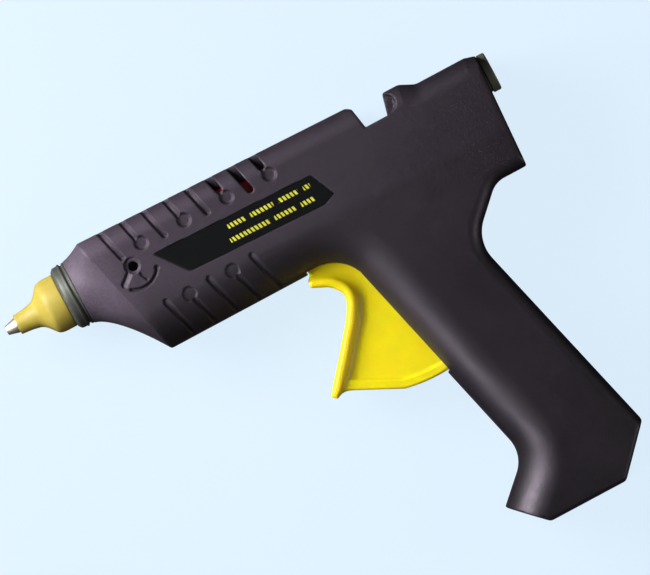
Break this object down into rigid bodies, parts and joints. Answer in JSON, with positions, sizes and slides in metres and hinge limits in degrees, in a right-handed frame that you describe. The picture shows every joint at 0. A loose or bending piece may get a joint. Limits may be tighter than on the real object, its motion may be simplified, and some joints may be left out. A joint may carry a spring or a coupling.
{
  "type": "hot glue gun",
  "caption": "Full-size hot glue gun with a straight barrel, slotted casing, raked handle, sprung trigger, bare nozzle tip with a soft cover and a stick feed behind it.",
  "frame": {"origin": "on the flat face of the right side, which the gun lies on, under the glue stick's axis and abreast of the trigger's pivot", "axes": "+X along the glue stick's axis from the nozzle to the rear, +Y to the gun's top, +Z from the right side to the left side"},
  "size_m": [0.1985, 0.1681, 0.034],
  "materials": {
    "casing": "fine satin texture",
    "label": "smooth film",
    "screw_steel": "zinc plated",
    "tip_metal": "turned",
    "yellow_silicone": "matte",
    "ring_metal": "dark, polished at the chamfer",
    "cast_aluminium": "die cast",
    "insulation_film": "film",
    "ceramic": "fired",
    "brass_sheet": "rolled",
    "red_silicone": "matte",
    "spring_steel": "drawn",
    "black_plastic": "moulded",
    "yellow_plastic": "satin gloss",
    "olive_metal": "dull",
    "white_plastic": "moulded",
    "brown_insulation": "smooth",
    "blue_insulation": "smooth"
  },
  "bodies": {
    "base": {"left_casing": "casing", "right_casing": "casing", "label_plate": "label", "casing_screw_1": "screw_steel", "casing_screw_2": "screw_steel", "casing_screw_3": "screw_steel", "casing_screw_4": "screw_steel", "casing_screw_5": "screw_steel", "casing_screw_6": "screw_steel", "nozzle": "tip_metal", "nozzle_cover": "yellow_silicone", "front_ring": "ring_metal", "heating_chamber": "cast_aluminium", "heater_insulation": "insulation_film", "heater_resistor": "ceramic", "electrode_upper": "brass_sheet", "electrode_lower": "brass_sheet", "stick_sleeve": "red_silicone", "sleeve_clamp": "spring_steel", "carriage_spring": "spring_steel", "trigger_pivot": "spring_steel", "inlet_ring": "olive_metal", "terminal_block": "white_plastic", "lead_live": "brown_insulation", "lead_neutral": "blue_insulation"},
    "trigger": {"trigger": "yellow_plastic"},
    "carriage": {"carriage": "black_plastic", "gripper_pin": "spring_steel"},
    "gripper": {"gripper": "cast_aluminium", "drive_pin": "spring_steel"}
  },
  "joints": [
    {"name": "trigger_pull", "type": "hinge", "parent": "base", "child": "trigger", "pos_m": [0, -0.028, 0.017], "axis": [0, 0, 1], "range_deg": [0, 18], "stiffness_Nm_per_rad": 1.5, "springref_deg": -5.73},
    {"name": "carriage_slide", "type": "slide", "parent": "base", "child": "carriage", "axis": [-1, 0, 0], "range_m": [0, 0.00501], "deforming": ["carriage_spring"]},
    {"name": "gripper_tilt", "type": "hinge", "parent": "carriage", "child": "gripper", "pos_m": [0.0092, -0.0099, 0.017], "axis": [0, 0, -1], "range_deg": [0, 5.05]}
  ],
  "couplings": [
    {"joint": "carriage_slide", "follows": "trigger_pull", "m_per_rad": 0.0159},
    {"joint": "gripper_tilt", "follows": "trigger_pull", "ratio": 0.2777}
  ]
}
